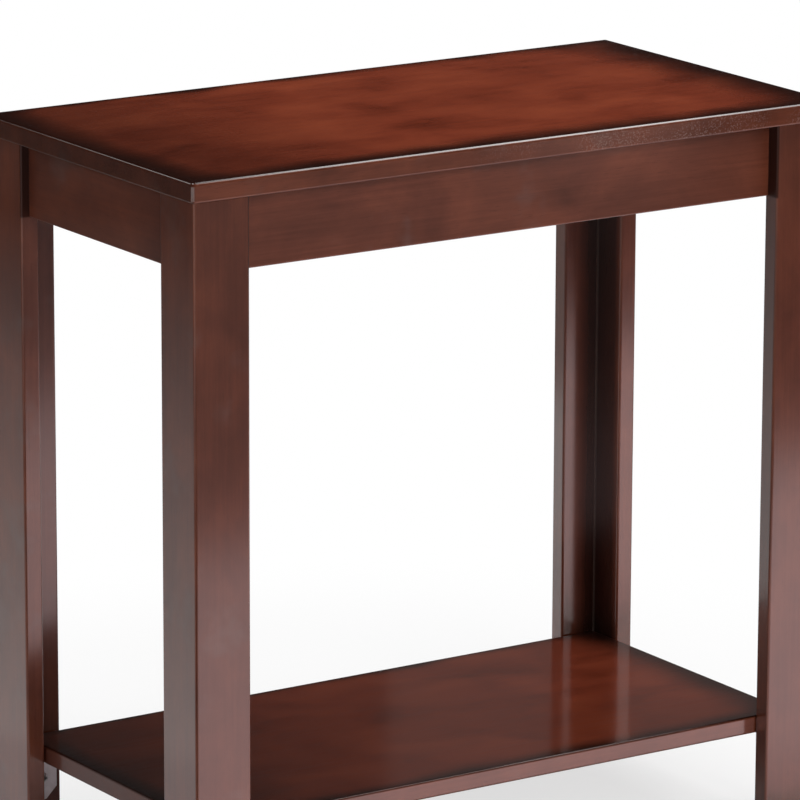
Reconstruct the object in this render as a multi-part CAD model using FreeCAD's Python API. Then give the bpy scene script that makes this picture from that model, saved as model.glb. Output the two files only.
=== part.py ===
import FreeCAD, Part
import math
import os

# Narrow end table with a lower shelf: a thin top on four L-section legs, with set-back aprons.
# The origin is on the floor under the middle of the top. X runs along the long side, Y from
# front to back and Z up. Lengths are in millimetres.

# Top panel
table_height = 610.0
top_length = 610.0
top_depth = 320.0
top_thickness = 16.0
top_overhang = 3.5
top_upper_round = 3.2
top_lower_round = 1.5
top_corner_fullness = 0.5

# Legs, each an L of two boards mitred along the outer corner
leg_board_width = 50.0
leg_board_thickness = 16.0
leg_edge_round = 2.0
foot_ease_share = 0.5

# Aprons, set back from the outer faces of the legs, with a stub tenon on each end
apron_height = 60.0
apron_thickness = 18.0
apron_edge_round = 1.2
long_apron_setback = 12.3
end_apron_setback = 7.5
tenon_thickness = 6.0
tenon_shoulder = 10.0
tenon_length_share = 0.4
tenon_clearance = 0.1

# Corner blocks, glued into the top of each L section and mortised for the aprons
block_height = 56.0
block_edge_ease = 3.0

# Shelf, nested inside the four L sections
shelf_top_height = 92.0
shelf_thickness = 15.0
shelf_edge_round = 2.0
shelf_clearance = 0.3

# Stamped steel angle brackets that carry the shelf on the legs
bracket_sheet = 1.5
bracket_bend_radius = 2.5
bracket_width = 25.0
bracket_wing_height = 42.0
bracket_plate_depth = 34.0
bracket_corner_clip = 10.0
bracket_hole_share = 0.55

# Screws that hold the brackets to the legs and the shelf
bracket_screw_diameter = 4.0
bracket_screw_head_diameter = 8.0
bracket_screw_head_height = 2.4
bracket_screw_cover = 4.0

# Screws that hold the top down to the corner blocks, in counterbored holes
top_screw_diameter = 4.5
top_screw_head_diameter = 8.5
top_screw_head_height = 3.0
top_screw_cover = 6.0
top_screw_share = 0.28
counterbore_diameter = 10.0
counterbore_depth = 18.0

# Radial gap of a shank in its hole, and how far every cut runs past the wood
fit_clearance = 0.1
cut_overrun = 1.0

# Sizes that follow from the driving ones
leg_span = top_length - 2 * top_overhang
leg_reach = top_depth - 2 * top_overhang
leg_length = table_height - top_thickness
apron_bottom = leg_length - apron_height
shelf_bottom = shelf_top_height - shelf_thickness
block_bottom = leg_length - block_height
block_width = leg_board_width - leg_board_thickness
tenon_length = block_width * tenon_length_share
half_root = math.sqrt(0.5)

Vector = FreeCAD.Vector
origin = Vector(0, 0, 0)
along_x = Vector(1, 0, 0)
along_y = Vector(0, 1, 0)
along_z = Vector(0, 0, 1)
across_mitre = Vector(1, -1, 0)
touching = FreeCAD.Base.Precision.confusion()

# Each corner's name, with whether it lies on the right and on the back
corners = {
    "front_left": (False, False),
    "front_right": (True, False),
    "back_left": (False, True),
    "back_right": (True, True),
}


def line(start, end):
    return Part.LineSegment(start, end).toShape()


def arc(start, through, end):
    return Part.Arc(start, through, end).toShape()


def outline_face(points):
    """Flat face inside straight edges from point to point."""
    return Part.Face(Part.makePolygon(points + points[:1]))


def edges_at_height(shape, height):
    """Edges that lie level at one height."""
    return [edge for edge in shape.Edges
            if abs(edge.BoundBox.ZMin - height) < touching and abs(edge.BoundBox.ZMax - height) < touching]


def upright_edges(shape):
    return [edge for edge in shape.Edges
            if edge.BoundBox.XLength < touching and edge.BoundBox.YLength < touching]


def bore(diameter, depth, mouth, direction):
    """Drill with a running fit, started outside the mouth so that the cut is clean."""
    radius = diameter / 2 + fit_clearance
    return Part.makeCylinder(radius, depth + cut_overrun, mouth - direction * cut_overrun, direction)


def screw(diameter, length, head_diameter, head_height, seat, direction):
    """Plain-shanked screw whose head sits on the seat and whose shank runs along the direction."""
    half_section = outline_face([
        Vector(0, 0, -head_height),
        Vector(head_diameter / 2, 0, -head_height),
        Vector(head_diameter / 2, 0, 0),
        Vector(diameter / 2, 0, 0),
        Vector(diameter / 2, 0, length),
        Vector(0, 0, length),
    ])
    body = half_section.revolve(origin, along_z, 360)
    body.Placement = FreeCAD.Placement(seat, FreeCAD.Rotation(along_z, direction))
    return body


def at_corner(shape, corner):
    """Move a shape drawn from a leg's outer corner, with X and Y inwards, to a named corner."""
    on_right, on_back = corners[corner]
    placed = shape.copy()
    placed.translate(Vector(-leg_span / 2, -leg_reach / 2, 0))
    if on_right:
        placed = placed.mirror(origin, along_x)
    if on_back:
        placed = placed.mirror(origin, along_y)
    return placed


def cut_at_corners(panel, tool):
    for corner in corners:
        panel = panel.cut(at_corner(tool, corner))
    return panel


# Places shared by the pieces that meet there, in the leg's own corner frame:
# the two outer faces of the leg meet at the origin, and X and Y run inwards

def tenon_box(setback, run, clearance):
    """Stub tenon of the apron that runs along X or Y from this leg, or its mortise with a clearance."""
    middle = (leg_board_thickness + setback + apron_thickness) / 2
    thickness = tenon_thickness + 2 * clearance
    height = apron_height - 2 * tenon_shoulder + 2 * clearance
    start = leg_board_width - tenon_length - clearance
    side = middle - thickness / 2
    base = apron_bottom + tenon_shoulder - clearance
    if run == along_x:
        return Part.makeBox(tenon_length + clearance, thickness, height, Vector(start, side, base))
    return Part.makeBox(thickness, tenon_length + clearance, height, Vector(side, start, base))


def top_screw_seat():
    inset = leg_board_thickness + block_width * top_screw_share
    return Vector(inset, inset, block_bottom + counterbore_depth)


def bracket_middle():
    """Line along which the bracket stands, in the middle of the face board's inner side."""
    return (leg_board_thickness + leg_board_width) / 2


def bracket_leg_seat():
    height = shelf_bottom - bracket_wing_height * bracket_hole_share
    return Vector(bracket_middle(), leg_board_thickness + bracket_sheet, height)


def bracket_shelf_seat():
    depth = leg_board_thickness + bracket_plate_depth * bracket_hole_share
    return Vector(bracket_middle(), depth, shelf_bottom - bracket_sheet)


# Wooden pieces

def top_panel():
    """Panel with slightly rounded corners, a fuller round on its upper arris than below."""
    panel = Part.makeBox(top_length, top_depth, top_thickness,
                         Vector(-top_length / 2, -top_depth / 2, leg_length))
    corner_round = max(top_upper_round, top_lower_round) + top_corner_fullness
    panel = panel.makeFillet(corner_round, upright_edges(panel))
    panel = panel.makeFillet(top_upper_round, edges_at_height(panel, table_height))
    panel = panel.makeFillet(top_lower_round, edges_at_height(panel, leg_length))
    seat = top_screw_seat()
    mouth = Vector(seat.x, seat.y, leg_length)
    return cut_at_corners(panel, bore(top_screw_diameter, top_thickness - top_screw_cover, mouth, along_z))


def shelf_panel():
    """Square-cornered panel with eased arrises, just clear of the legs it sits between."""
    length = leg_span - 2 * (leg_board_thickness + shelf_clearance)
    depth = leg_reach - 2 * (leg_board_thickness + shelf_clearance)
    panel = Part.makeBox(length, depth, shelf_thickness, Vector(-length / 2, -depth / 2, shelf_bottom))
    arrises = edges_at_height(panel, shelf_bottom) + edges_at_height(panel, shelf_top_height)
    panel = panel.makeFillet(shelf_edge_round, arrises)
    seat = bracket_shelf_seat()
    mouth = Vector(seat.x, seat.y, shelf_bottom)
    hole = bore(bracket_screw_diameter, shelf_thickness - bracket_screw_cover, mouth, along_z)
    return cut_at_corners(panel, hole)


def leg_face_board():
    """Board along X: half of the rounded outer corner, a mitre behind it and a rounded free edge."""
    width = leg_board_width
    thick = leg_board_thickness
    radius = leg_edge_round
    inset = radius * (1 - half_root)
    turn = math.radians(247.5)
    on_mitre = Vector(inset, inset, 0)
    corner_middle = Vector(radius + radius * math.cos(turn), radius + radius * math.sin(turn), 0)
    outline = Part.Wire([
        arc(on_mitre, corner_middle, Vector(radius, 0, 0)),
        line(Vector(radius, 0, 0), Vector(width - radius, 0, 0)),
        arc(Vector(width - radius, 0, 0), Vector(width - inset, inset, 0), Vector(width, radius, 0)),
        line(Vector(width, radius, 0), Vector(width, thick - radius, 0)),
        arc(Vector(width, thick - radius, 0), Vector(width - inset, thick - inset, 0),
            Vector(width - radius, thick, 0)),
        line(Vector(width - radius, thick, 0), Vector(thick, thick, 0)),
        line(Vector(thick, thick, 0), on_mitre),
    ])
    board = Part.Face(outline).extrude(along_z * leg_length)
    foot_edges = [edge for edge in edges_at_height(board, 0)
                  if abs(edge.CenterOfMass.x - edge.CenterOfMass.y) > touching]
    return board.makeChamfer(leg_edge_round * foot_ease_share, foot_edges)


def leg_side_board():
    """The face board's mirror image across the mitre."""
    return leg_face_board().mirror(origin, across_mitre)


def drilled_face_board():
    """Face board with the hole for its bracket's screw."""
    seat = bracket_leg_seat()
    mouth = Vector(seat.x, leg_board_thickness, seat.z)
    depth = leg_board_thickness - bracket_screw_cover
    return leg_face_board().cut(bore(bracket_screw_diameter, depth, mouth, -along_y))


def corner_block():
    """Block that fills the top of the L, its free edge eased, mortised for two aprons and drilled."""
    start = Vector(leg_board_thickness, leg_board_thickness, block_bottom)
    block = Part.makeBox(block_width, block_width, block_height, start)
    free_edge = max(upright_edges(block), key=lambda edge: edge.CenterOfMass.x + edge.CenterOfMass.y)
    block = block.makeChamfer(block_edge_ease, [free_edge])
    block = block.cut(tenon_box(long_apron_setback, along_x, tenon_clearance))
    block = block.cut(tenon_box(end_apron_setback, along_y, tenon_clearance))
    seat = top_screw_seat()
    block = block.cut(bore(top_screw_diameter, block_height, seat, along_z))
    mouth = Vector(seat.x, seat.y, block_bottom)
    return block.cut(bore(counterbore_diameter, counterbore_depth, mouth, along_z))


def eased_below(board):
    """Round the two long lower arrises of a level board."""
    lengthwise = [edge for edge in edges_at_height(board, apron_bottom) if edge.Length > apron_thickness]
    return board.makeFillet(apron_edge_round, lengthwise)


def front_apron():
    length = leg_span - 2 * leg_board_width
    start = Vector(-length / 2, long_apron_setback - leg_reach / 2, apron_bottom)
    board = eased_below(Part.makeBox(length, apron_thickness, apron_height, start))
    tenon = tenon_box(long_apron_setback, along_x, 0)
    return board.fuse([at_corner(tenon, corner) for corner in ("front_left", "front_right")])


def left_apron():
    length = leg_reach - 2 * leg_board_width
    start = Vector(end_apron_setback - leg_span / 2, -length / 2, apron_bottom)
    board = eased_below(Part.makeBox(apron_thickness, length, apron_height, start))
    tenon = tenon_box(end_apron_setback, along_y, 0)
    return board.fuse([at_corner(tenon, corner) for corner in ("front_left", "back_left")])


# Steel brackets

def clipped_corners(side, end, inwards, thickness):
    """Wedges that clip both corners of a plate whose end, and the way in from it, are given."""
    clip = bracket_corner_clip
    wedges = []
    for way in (1, -1):
        tip = end + along_x * (way * side)
        wedge = outline_face([tip, tip - along_x * (way * clip), tip + inwards * clip])
        wedges.append(wedge.extrude(thickness))
    return wedges


def shelf_bracket():
    """Angle bent from sheet: a wing down the leg's inner face and a plate under the shelf."""
    sheet = bracket_sheet
    bend = bracket_bend_radius
    inner = bend - sheet
    depth = bracket_plate_depth
    drop = -bracket_wing_height
    side = bracket_width / 2

    def point(across, height):
        return Vector(bracket_middle() - side, leg_board_thickness + across, shelf_bottom + height)

    outer_middle = bend * (1 - half_root)
    inner_middle = bend - inner * half_root
    section = Part.Wire([
        line(point(0, drop), point(0, -bend)),
        arc(point(0, -bend), point(outer_middle, -outer_middle), point(bend, 0)),
        line(point(bend, 0), point(depth, 0)),
        line(point(depth, 0), point(depth, -sheet)),
        line(point(depth, -sheet), point(bend, -sheet)),
        arc(point(bend, -sheet), point(inner_middle, -inner_middle), point(sheet, -bend)),
        line(point(sheet, -bend), point(sheet, drop)),
        line(point(sheet, drop), point(0, drop)),
    ])
    bracket = Part.Face(section).extrude(along_x * bracket_width)
    wing_end = Vector(bracket_middle(), leg_board_thickness, shelf_bottom + drop)
    plate_end = Vector(bracket_middle(), leg_board_thickness + depth, shelf_bottom - sheet)
    wedges = clipped_corners(side, wing_end, along_z, along_y * sheet)
    wedges += clipped_corners(side, plate_end, -along_y, along_z * sheet)
    drill_depth = sheet + cut_overrun
    holes = [
        bore(bracket_screw_diameter, drill_depth, bracket_leg_seat(), -along_y),
        bore(bracket_screw_diameter, drill_depth, bracket_shelf_seat(), along_z),
    ]
    return bracket.cut(wedges + holes)


# Assembly

def screws_at_corner():
    """The screws of one corner, each by the name of its group."""
    head = (bracket_screw_head_diameter, bracket_screw_head_height)
    leg_grip = bracket_sheet + leg_board_thickness - bracket_screw_cover
    shelf_grip = bracket_sheet + shelf_thickness - bracket_screw_cover
    top_grip = block_height - counterbore_depth + top_thickness - top_screw_cover
    return {
        "bracket_leg_screws": screw(bracket_screw_diameter, leg_grip, *head, bracket_leg_seat(), -along_y),
        "bracket_shelf_screws": screw(bracket_screw_diameter, shelf_grip, *head, bracket_shelf_seat(), along_z),
        "top_screws": screw(top_screw_diameter, top_grip, top_screw_head_diameter, top_screw_head_height,
                            top_screw_seat(), along_z),
    }


def table_nodes():
    """Every piece of the table by name."""
    front = front_apron()
    left = left_apron()
    nodes = {
        "top_panel": top_panel(),
        "shelf_panel": shelf_panel(),
        "front_apron": front,
        "back_apron": front.mirror(origin, along_y),
        "left_apron": left,
        "right_apron": left.mirror(origin, along_x),
    }
    corner_pieces = {
        "leg_face_board": drilled_face_board(),
        "leg_side_board": leg_side_board(),
        "corner_block": corner_block(),
        "shelf_bracket": shelf_bracket(),
    }
    for corner in corners:
        for piece, shape in corner_pieces.items():
            nodes[corner + "_" + piece] = at_corner(shape, corner)
    for group, shape in screws_at_corner().items():
        nodes[group] = Part.makeCompound([at_corner(shape, corner) for corner in corners])
    return nodes


os.makedirs("parts", exist_ok=True)
for name, shape in table_nodes().items():
    shape.exportStep("parts/" + name + ".step")
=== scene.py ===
"""Looks of a narrow end table with a lower shelf: stained and lacquered wood, plated steel and a studio."""
import math
from collections import namedtuple

import bmesh
import bpy
from bpy.props import FloatProperty, FloatVectorProperty, IntProperty, PointerProperty
from bpy.types import NodeSocket, Operator, Panel, PropertyGroup
from mathutils import Matrix, Vector


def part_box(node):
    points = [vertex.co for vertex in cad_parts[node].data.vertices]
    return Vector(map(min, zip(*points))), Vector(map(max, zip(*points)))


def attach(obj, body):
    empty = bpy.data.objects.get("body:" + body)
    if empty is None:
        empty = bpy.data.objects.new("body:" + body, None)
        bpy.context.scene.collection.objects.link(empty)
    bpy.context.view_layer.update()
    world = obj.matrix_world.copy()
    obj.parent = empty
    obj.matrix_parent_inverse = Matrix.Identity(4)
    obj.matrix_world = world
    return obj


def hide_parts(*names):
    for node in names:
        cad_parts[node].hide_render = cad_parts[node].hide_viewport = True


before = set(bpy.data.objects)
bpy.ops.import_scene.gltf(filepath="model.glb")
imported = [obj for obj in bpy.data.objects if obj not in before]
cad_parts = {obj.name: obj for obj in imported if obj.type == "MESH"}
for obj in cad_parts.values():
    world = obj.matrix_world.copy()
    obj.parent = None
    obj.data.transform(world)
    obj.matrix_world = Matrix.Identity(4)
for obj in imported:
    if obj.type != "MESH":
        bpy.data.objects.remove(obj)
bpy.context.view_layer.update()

bl_info = {
    "name": "End table with shelf",
    "version": (1, 0, 0),
    "blender": (4, 5, 0),
    "location": "View3D > Sidebar > End Table",
    "description": "Finishes, screws and studio for a narrow end table with a lower shelf",
    "category": "Object",
}

CORNERS = ("front_left", "front_right", "back_left", "back_right")
ALONG_X, ALONG_Y, ALONG_Z = range(3)

# Thickness in metres of the layer by which a finish tells the faces of a piece apart
SKIN = 0.001

# Depth in metres over which the stain of a panel's upper face gives way to that of its edge
FACE_DEPTH = 0.0016

# Ranges of a noise or a cell over which a mark in a finish goes from none to full
PORE_RANGE = (0.60, 0.74)
# The next range shapes the grey patches of painted sheen
PAINTED_SHEEN_RANGE = (0.54, 0.74)
RUB_RANGE = (0.35, 0.65)
# The next three ranges shape the painted glints: pale dots for light sparkling in the lacquer
GLINT_PATCH_RANGE = (0.36, 0.56)
GLINT_CHOICE_RANGE = (0.25, 0.55)
GLINT_DOT_RANGE = (0.65, 0.10)
DULL_RANGE = (0.35, 0.70)

# Value round which a noise varies
NOISE_MIDDLE = 0.5

# Values of the grain's noise at which the tones of a wood sit, from deep to light
PANEL_TONE_PLACES = (0.27, 0.48, 0.71)
BOARD_TONE_PLACES = (0.30, 0.50, 0.70)
BLOCK_TONE_PLACES = (0.35, 0.62)

# Weights of the clouds and streaks in the tone of stained wood
CLOUD_TONE = 0.70
STREAK_TONE = 0.30

# Weights of streaks, clouds, rubbed arrises and the stain itself in the roughness of stained wood
STREAK_ROUGHNESS = 0.16
CLOUD_ROUGHNESS = 0.10
RUB_ROUGHNESS = 0.25
STAIN_ROUGHNESS = 0.66

# Share of a rubbed line's width that is rubbed fully
WEAR_CORE = 0.2

# Where the painted shade inside a leg starts and is full, as shares of the way to the inside corner
FACE_PAINTED_SHADE = (0.28, 0.85)
SIDE_PAINTED_SHADE = (0.0, 0.3)

# Roughness of raw wood, and what its streaks, pores and rubbed arrises add to it
BLOCK_ROUGHNESS = 0.45
BLOCK_STREAK_ROUGHNESS = 0.25
BLOCK_PORE_ROUGHNESS = 0.2
BLOCK_RUB_ROUGHNESS = 0.1

# Weights of pores and streaks in the relief of raw wood, and its depth beside that of lacquered wood
BLOCK_PORE_RELIEF = 0.6
BLOCK_STREAK_RELIEF = 0.4
BLOCK_RELIEF_DEPTH = 3

# Sheen of raw wood
BLOCK_SHINE = 0.3

# Sizes of the patches and scratches in the plating, measured against its crystals
ZINC_PATCH_SCALE = 0.3
ZINC_SCRATCH_WIDTH = 0.1
ZINC_SCRATCH_LENGTH = 5

# Weights of crystals and patches in how dull the plating is
CRYSTAL_DULLNESS = 0.35
PATCH_DULLNESS = 0.65

# Roughness of the plating, and what dullness and scratches add to it
ZINC_ROUGHNESS = 0.32
DULL_ROUGHNESS = 0.22
SCRATCH_ROUGHNESS = 0.16

# Weights of patches and scratches in the relief of the plating
PATCH_RELIEF = 0.7
SCRATCH_RELIEF = 0.3

# Flat crown of a screw's head beside its cross recess
CROWN_SHARE = 1.12

# Depth of the recess beside the head's height, and width of its floor beside its mouth
RECESS_DEPTH_SHARE = 0.7
RECESS_FLOOR_SHARE = 0.7

# Tip of a screw beside its shank
TIP_SHARE = 0.15

# Shares of a quarter turn at which the head's dome has its rings
DOME_TURNS = (0.35, 0.6, 0.8, 1.0)

# Share of a plain head's radius beyond which a vertex belongs to its rim
HEAD_RIM_SHARE = 0.9

# Angle up to which the faces of a screw are shaded as one
SMOOTH_ANGLE = math.radians(35)

# Sides of the round floor and of the whole ring that a round card is cut from
FLOOR_SIDES = 96
CARD_SIDES = 144

# Shares of a quarter turn at which the curve of the backdrop has its rings
BACKDROP_TURNS = (0.25, 0.5, 0.75, 1.0)

# Heights in metres of the sheets on the floor and of those overhead
FLOOR_SHEET = 0.002
OVERHEAD = 2.6

# The front card: where it ends, and the edges of its two soft boxes, as shares of its distance or height
CARD_END = (0.74, 0.85)
NEAR_BOX_FOOT = (0.42, 0.46)
NEAR_BOX_LEFT = (0.55, 0.68)
NEAR_BOX_RIGHT = (0.80, 0.72)
FAR_BOX_FOOT = (0.58, 0.65)
FAR_BOX_LEFT = (1.02, 1.045)

# Shares of a sheet's length at which its tone changes, and of its depth over which its back edge dims
BOX_TONE_PLACES = (0.07, 0.20, 0.40, 0.45, 0.70, 0.75)
ROSE_TONE_PLACES = (0.30, 0.43)
BACK_FADE = 1 / 6

# Sockets of a Mix node that is set to colours
MIX_SHARE, MIX_FIRST, MIX_SECOND = 0, 6, 7
MIX_RESULT = 2

PanelLook = namedtuple("PanelLook", "shade border specks shine dryness")
# A leg's toner field gives where its painted shade starts and is full
LegLook = namedtuple("LegLook", "free inner aprons_start toner")


def colour_property(name, description, default):
    return FloatVectorProperty(name=name, description=description, default=default, subtype="COLOR",
                               size=3, min=0.0, max=1.0)


def length_property(name, description, default):
    return FloatProperty(name=name, description=description, default=default, subtype="DISTANCE",
                         unit="LENGTH", min=0.0, precision=5)


def share_property(name, description, default):
    return FloatProperty(name=name, description=description, default=default, subtype="FACTOR",
                         min=0.0, max=1.0)


def place_property(name, description, default):
    return FloatVectorProperty(name=name, description=description, default=default, subtype="XYZ",
                               unit="LENGTH", size=3)


def angle_property(name, description, degrees):
    return FloatProperty(name=name, description=description, default=math.radians(degrees),
                         subtype="ANGLE")


def power_property(name, description, default):
    return FloatProperty(name=name, description=description, default=default, unit="POWER", min=0.0)


def glow_property(name, description, default):
    return FloatProperty(name=name, description=description, default=default, min=0.0)


class CherryFinish(PropertyGroup):
    """Dark cherry stain under a clear gloss lacquer, with painted shade, painted sheen and painted glints."""
    deep: colour_property("Deep tone", "Stain where the wood took up most", (0.135, 0.0215, 0.0085))
    middle: colour_property("Middle tone", "Stain over most of the wood", (0.260, 0.047, 0.0207))
    glow: colour_property("Glow", "Stain where the wood is lightest", (0.362, 0.0745, 0.0318))
    board_deep: colour_property("Board deep", "Darkest stain on legs and aprons", (0.073, 0.0192, 0.0100))
    board_middle: colour_property("Board middle", "Main stain on legs and aprons", (0.128, 0.0345, 0.0180))
    board_glow: colour_property("Board glow", "Lightest stain on legs and aprons", (0.195, 0.0525, 0.0258))
    # The burnish colour is also used for the painted shade in the legs' recesses and inside corners and on
    # the panels' ends
    burnish: colour_property("Burnish", "Toner sprayed round the panels", (0.010, 0.0035, 0.0022))
    rubbed: colour_property("Rubbed edge", "Wood seen through the stain on the arrises", (0.26, 0.11, 0.065))
    burnish_front: length_property("Front burnish", "How far the toner fades in from the front", 0.050)
    burnish_back: length_property("Back burnish", "How far the toner fades in from the back", 0.026)
    burnish_left: length_property("Left burnish", "How far the toner fades in from the left end", 0.105)
    burnish_right: length_property("Right burnish", "How far the toner fades in from the right end", 0.090)
    burnish_drift: length_property("Burnish drift", "How much the hand-sprayed border wanders", 0.013)
    burnish_wave: length_property("Burnish wave", "Length of one wander of the border", 0.070)
    burnish_full: share_property("Burnish strength", "Strength of the toner at the very edge", 0.95)
    # Partly toner and partly painted shade: the mist darkens the panels' left ends, which lie further from
    # the light
    overspray_and_painted_shade: length_property("Overspray", "How far a thin mist of toner reaches from the left end", 0.26)
    overspray_and_painted_shade_full: share_property("Overspray strength", "Strength of the mist at the left end", 0.60)
    shelf_shade: share_property("Shelf shade", "Tone of the shelf beside the top's", 0.62)
    shelf_border: share_property("Shelf border", "Width of the shelf's dark border beside the top's", 0.60)
    # Painted light and shade: the legs' face boards and side boards are one wood, dimmed by different shares
    # to match the light on their faces
    leg_face_painted_shade: share_property("Leg face shade", "Tone of the legs' wide faces beside the aprons", 0.70)
    leg_side_painted_shade: share_property("Leg side shade", "Tone of the legs' side boards beside the aprons", 1.0)
    burnish_curve: FloatProperty(name="Burnish curve", description="How closely the toner keeps to the edge",
                                 default=1.5, min=0.2, max=5.0)
    # Painted glints: pale dots on the panels' edges that stand for light sparkling in the lacquer's ripples
    painted_glint: colour_property("Speckle", "Pale specks in the lacquer on the panels' edges", (0.32, 0.22, 0.20))
    painted_glint_size: length_property("Speckle size", "Size of the specks on the panels' edges", 0.0013)
    painted_glint_full: share_property("Speckle strength", "Strength of the specks on the panels' edges", 0.45)
    # Painted sheen: grey patches that stand for a hazy reflection in the lacquer, fading out to the right of
    # the middle where less light is mirrored
    painted_sheen: colour_property("Bloom", "Grey bloom in the lacquer", (0.125, 0.085, 0.076))
    painted_sheen_size: length_property("Bloom size", "Size of the grey patches", 0.055)
    painted_sheen_full: share_property("Bloom strength", "Strength of the grey patches", 0.35)
    painted_sheen_end: length_property("Bloom end", "How far right of the middle the bloom has faded out", 0.25)
    # Painted shade: the burnish colour laid in the recess by the aprons, where shade falls
    recess_painted_shade: share_property("Recess strength", "Strength of the toner in the recess by the aprons", 0.9)
    recess_dry: share_property("Recess dryness", "Lacquer missing in the recess by the aprons", 0.85)
    # Painted shade: the burnish colour laid on the legs' inner sides towards the L's corner, where shade
    # falls
    inside_painted_shade: share_property("Inside strength", "Strength of the toner in the legs' inside corner", 0.92)
    thin_lacquer: share_property("Thin lacquer", "Lacquer rubbed off along the arrises", 0.62)
    under_dry: share_property("Underside dryness", "Lacquer missing on the undersides", 0.8)
    seam: colour_property("Seam", "Lacquer and glue in the legs' inside corner", (0.060, 0.042, 0.035))
    shelf_dry: share_property("Shelf dryness", "Lacquer missing on the shelf's end grain and arrises", 0.7)
    # Darker stain on the end grain, partly painted shade where the panels' ends lie in shadow
    end_toner_and_painted_shade: share_property("End toner", "How much darker the end grain of the panels is stained", 0.45)
    streak_width: length_property("Streak width", "Width of one streak of the grain", 0.0036)
    streak_length: length_property("Streak length", "Length of one streak of the grain", 0.11)
    blotch_width: length_property("Blotch width", "Width of the stain's clouds, across the grain", 0.052)
    blotch_length: length_property("Blotch length", "Length of the stain's clouds, with the grain", 0.078)
    pore_width: length_property("Pore width", "Width of one pore of the wood", 0.0009)
    pore_length: length_property("Pore length", "Length of one pore of the wood", 0.012)
    pore_depth: length_property("Pore depth", "How deep the pores show through the lacquer", 0.00003)
    pore_full: share_property("Pore strength", "How far the pores go to the deepest tone", 0.45)
    peel_size: length_property("Lacquer ripple", "Size of the fine ripples in the sprayed lacquer", 0.0016)
    peel_depth: length_property("Ripple depth", "Depth of the ripples in the lacquer", 0.000008)
    wear_width: length_property("Wear width", "Width of the rubbed line on the arrises", 0.0022)
    wear: share_property("Wear", "Strength of the rubbed line on the arrises", 0.14)
    stain_gloss: share_property("Stain roughness", "Roughness of the stained wood itself", 0.38)
    panel_gloss: share_property("Panel roughness", "Roughness of the lacquer on top and shelf", 0.12)
    board_gloss: share_property("Board roughness", "Roughness of the lacquer on legs and aprons", 0.15)
    undertone: colour_property("Undertone", "Tint of the wood's sheen below the lacquer", (1.0, 0.27, 0.18))
    board_shine: share_property("Board shine", "Sheen of legs and aprons below the lacquer", 0.35)
    top_shine: share_property("Top shine", "Sheen of the top below the lacquer", 0.10)
    shelf_shine: share_property("Shelf shine", "Sheen of the shelf below the lacquer", 0.35)
    lacquer_index: FloatProperty(name="Lacquer index", description="Refractive index of the lacquer",
                                 default=1.8, min=1.0, max=2.0)
    lacquer: share_property("Lacquer", "Weight of the clear lacquer", 1.0)


class HardwareFinish(PropertyGroup):
    """Raw blocks, plated brackets and screws."""
    block: colour_property("Block wood", "Unfinished hardwood of the corner blocks", (0.50, 0.33, 0.18))
    block_grain: colour_property("Block grain", "Late wood in the corner blocks", (0.34, 0.20, 0.10))
    zinc: colour_property("Zinc", "Plated sheet of the brackets", (0.86, 0.83, 0.86))
    zinc_dull: colour_property("Dull zinc", "Dulled patches of the plating", (0.70, 0.67, 0.70))
    zinc_metal: share_property("Zinc metal", "How metallic the dull plating looks", 0.45)
    screw_metal: share_property("Screw metal", "How metallic the screws look", 0.75)
    screw: colour_property("Screw steel", "Plating of the screws", (0.56, 0.55, 0.55))
    spangle: length_property("Spangle", "Size of the crystals in the zinc", 0.0045)
    dent: length_property("Dent", "Depth of the small dents in the plating", 0.00004)
    shank_share: share_property("Shank share", "Shank's share of the head's diameter", 0.5)
    edge_share: share_property("Edge share", "Straight rim's share of the head's height", 0.35)
    recess_share: share_property("Recess share", "Cross recess's share of the head's diameter", 0.56)
    point_share: share_property("Point share", "Point's length as a share of the head's diameter", 0.45)
    sides: IntProperty(name="Sides", description="Facets round a screw", default=32, min=12, max=96)


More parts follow.
